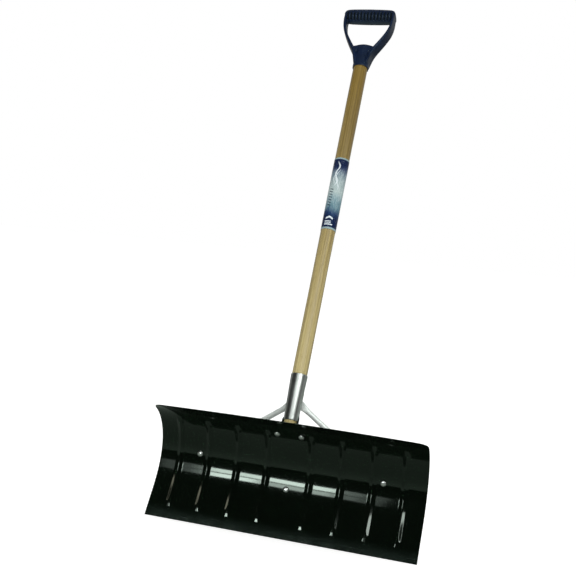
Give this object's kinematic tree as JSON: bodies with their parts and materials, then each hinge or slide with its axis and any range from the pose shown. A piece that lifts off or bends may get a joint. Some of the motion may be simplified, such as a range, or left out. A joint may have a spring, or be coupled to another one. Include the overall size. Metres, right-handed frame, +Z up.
{
  "type": "snow shovel",
  "caption": "Wide curved steel snow pusher with pressed ribs, a braced round wooden handle in a tapered ferrule and a moulded D-grip.",
  "frame": {"origin": "middle of the flat underside of the cutting edge", "axes": "+Z up, -Y out of the blade's hollow towards the snow, +X to the right seen from the front; the handle leans 25 degrees from +Z towards +Y"},
  "size_m": [0.61, 0.5208, 1.2237],
  "materials": {
    "blade_paint": "gloss black enamel with a faint green cast on pressed sheet steel",
    "bracket_paint": "semi-gloss black paint on pressed steel",
    "handle_wood": "clear-varnished straight-grained ash",
    "grip_plastic": "navy moulded plastic with a fine satin texture",
    "galvanised_steel": "bright galvanised steel with drawn streaks",
    "zinc_hardware": "bright zinc plate",
    "label_film": "printed shrink film in navy and pale blue, no lettering"
  },
  "bodies": {
    "root": {"blade": "blade_paint", "handle_bracket": "bracket_paint", "handle": "handle_wood", "d_grip": "grip_plastic", "ferrule": "galvanised_steel", "brace_left": "galvanised_steel", "brace_right": "galvanised_steel", "label": "label_film", "top_bolt_left": "zinc_hardware", "top_bolt_right": "zinc_hardware", "side_bolt_left": "zinc_hardware", "side_bolt_right": "zinc_hardware", "centre_bolt": "zinc_hardware", "top_left_washer": "zinc_hardware", "top_right_washer": "zinc_hardware", "side_left_washer": "zinc_hardware", "side_right_washer": "zinc_hardware", "centre_washer": "zinc_hardware", "top_left_nut": "zinc_hardware", "top_right_nut": "zinc_hardware", "side_left_nut": "zinc_hardware", "side_right_nut": "zinc_hardware", "centre_nut": "zinc_hardware", "brace_screw_washer": "zinc_hardware", "brace_screw": "zinc_hardware", "grip_screw": "zinc_hardware"}
  },
  "joints": []
}
